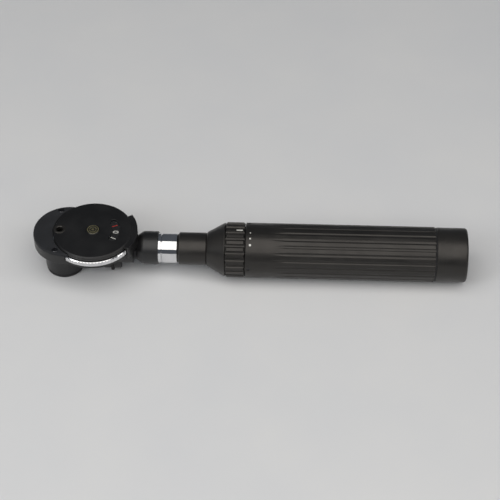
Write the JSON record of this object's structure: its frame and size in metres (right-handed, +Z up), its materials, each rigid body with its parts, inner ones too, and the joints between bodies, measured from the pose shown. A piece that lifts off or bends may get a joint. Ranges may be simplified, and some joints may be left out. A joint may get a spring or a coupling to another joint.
{
  "type": "ophthalmoscope",
  "caption": "Direct ophthalmoscope: round examining head with a turning lens wheel, on a ribbed battery handle with a bayonet socket and screw cap.",
  "frame": {"origin": "centre of the footprint, on the surface that the instrument lies on", "axes": "+X along the handle toward its end cap, the head at -X; +Z up, out of the examiner's face of the head; lying on its patient side"},
  "size_m": [0.2362, 0.0458, 0.03],
  "materials": {
    "black_anodised": "satin black anodised aluminium",
    "black_enamel": "satin black enamel",
    "black_plastic": "matt moulded black",
    "brow_rubber": "soft matt rubber",
    "seal_rubber": "soft",
    "chrome_plate": "polished",
    "nickel": "bright nickel",
    "steel": "machined",
    "black_steel": "black oxide",
    "spring_steel": "wire",
    "brass_contact": "polished",
    "gold_brass": "satin lacquered",
    "red_fibre": "insulating fibre",
    "phenolic": "moulded phenolic",
    "clear_glass": "clear",
    "lens_glass": "coated",
    "clear_window": "clear acrylic",
    "green_glass": "red-free green",
    "silvered": "front silvered",
    "scale_disc": "matt black with printed scale",
    "cell_wrap": "cell sleeve",
    "tungsten": "wire"
  },
  "bodies": {
    "handle": {"handle_cone": "black_anodised", "socket_liner": "nickel", "contact_bush": "phenolic", "rheostat_track": "phenolic", "collector_strip": "brass_contact", "supply_strip": "brass_contact", "bulkhead": "phenolic", "battery_contact": "brass_contact", "barrel": "black_anodised", "barrel_screws": "black_steel", "front_battery": "cell_wrap", "rear_battery": "cell_wrap", "plunger_spring": "spring_steel"},
    "brightness_ring": {"brightness_ring": "black_anodised", "rheostat_wiper": "brass_contact"},
    "plunger": {"contact_plunger": "brass_contact"},
    "lamp": {"bulb_base": "brass_contact", "bulb_insulator": "red_fibre", "bulb_contact": "brass_contact", "bulb_glass": "clear_glass", "bulb_filament": "tungsten"},
    "head": {"housing": "black_enamel", "face_plate": "black_plastic", "sight_eyelet": "black_anodised", "scale_window": "clear_window", "brow_rest": "brow_rubber", "brow_screws": "black_steel", "pivot_post": "steel", "pivot_screw": "gold_brass", "wheel_washer": "steel", "detent_ball": "steel", "detent_spring": "spring_steel", "detent_plug": "steel", "optics_cover": "black_enamel", "cover_screws": "steel", "window_bezel": "seal_rubber", "patient_window": "clear_glass", "mirror": "silvered", "mirror_mount": "black_plastic", "objective_lens": "lens_glass", "objective_tube": "black_plastic", "condenser_lens": "lens_glass", "condenser_tube": "black_plastic", "aperture_axle": "steel", "collar": "chrome_plate", "coupling_tube": "chrome_plate", "bayonet_pins": "steel"},
    "lens_wheel": {"lens_wheel": "scale_disc", "wheel_rim": "chrome_plate", "wheel_lenses": "lens_glass"},
    "aperture_wheel": {"aperture_wheel": "scale_disc", "green_filter": "green_glass"},
    "cap_carrier": {"cap_spring": "spring_steel", "cap_contact": "brass_contact"},
    "end_cap": {"end_cap": "black_anodised", "cap_seal": "seal_rubber"}
  },
  "joints": [
    {"name": "brightness_turn", "type": "hinge", "parent": "handle", "child": "brightness_ring", "pos_m": [-0.00795, 0, 0.015], "axis": [1, 0, 0], "range_deg": [0, 120]},
    {"name": "head_pull", "type": "slide", "parent": "handle", "child": "lamp", "axis": [-1, 0, 0], "range_m": [0, 0.03]},
    {"name": "head_twist", "type": "hinge", "parent": "lamp", "child": "head", "pos_m": [-0.03895, 0, 0.015], "axis": [1, 0, 0], "range_deg": [0, 40]},
    {"name": "lens_wheel_turn", "type": "hinge", "parent": "head", "child": "lens_wheel", "pos_m": [-0.08545, 0, 0.015], "axis": [0, 0, 1], "continuous": true},
    {"name": "aperture_turn", "type": "hinge", "parent": "head", "child": "aperture_wheel", "pos_m": [-0.07545, 0, 0.0086], "axis": [1, 0, 0], "continuous": true},
    {"name": "cap_travel", "type": "slide", "parent": "handle", "child": "cap_carrier", "axis": [1, 0, 0], "range_m": [0, 0.012]},
    {"name": "cap_turn", "type": "hinge", "parent": "cap_carrier", "child": "end_cap", "pos_m": [0.11105, 0, 0.015], "axis": [1, 0, 0], "range_deg": [0, 2881]},
    {"name": "plunger_travel", "type": "slide", "parent": "handle", "child": "plunger", "axis": [-1, 0, 0], "range_m": [0, 0.0015]}
  ],
  "couplings": [
    {"joint": "cap_turn", "follows": "cap_travel", "rad_per_m": 4188.8},
    {"joint": "plunger_travel", "follows": "head_pull", "ratio": 0.05}
  ]
}
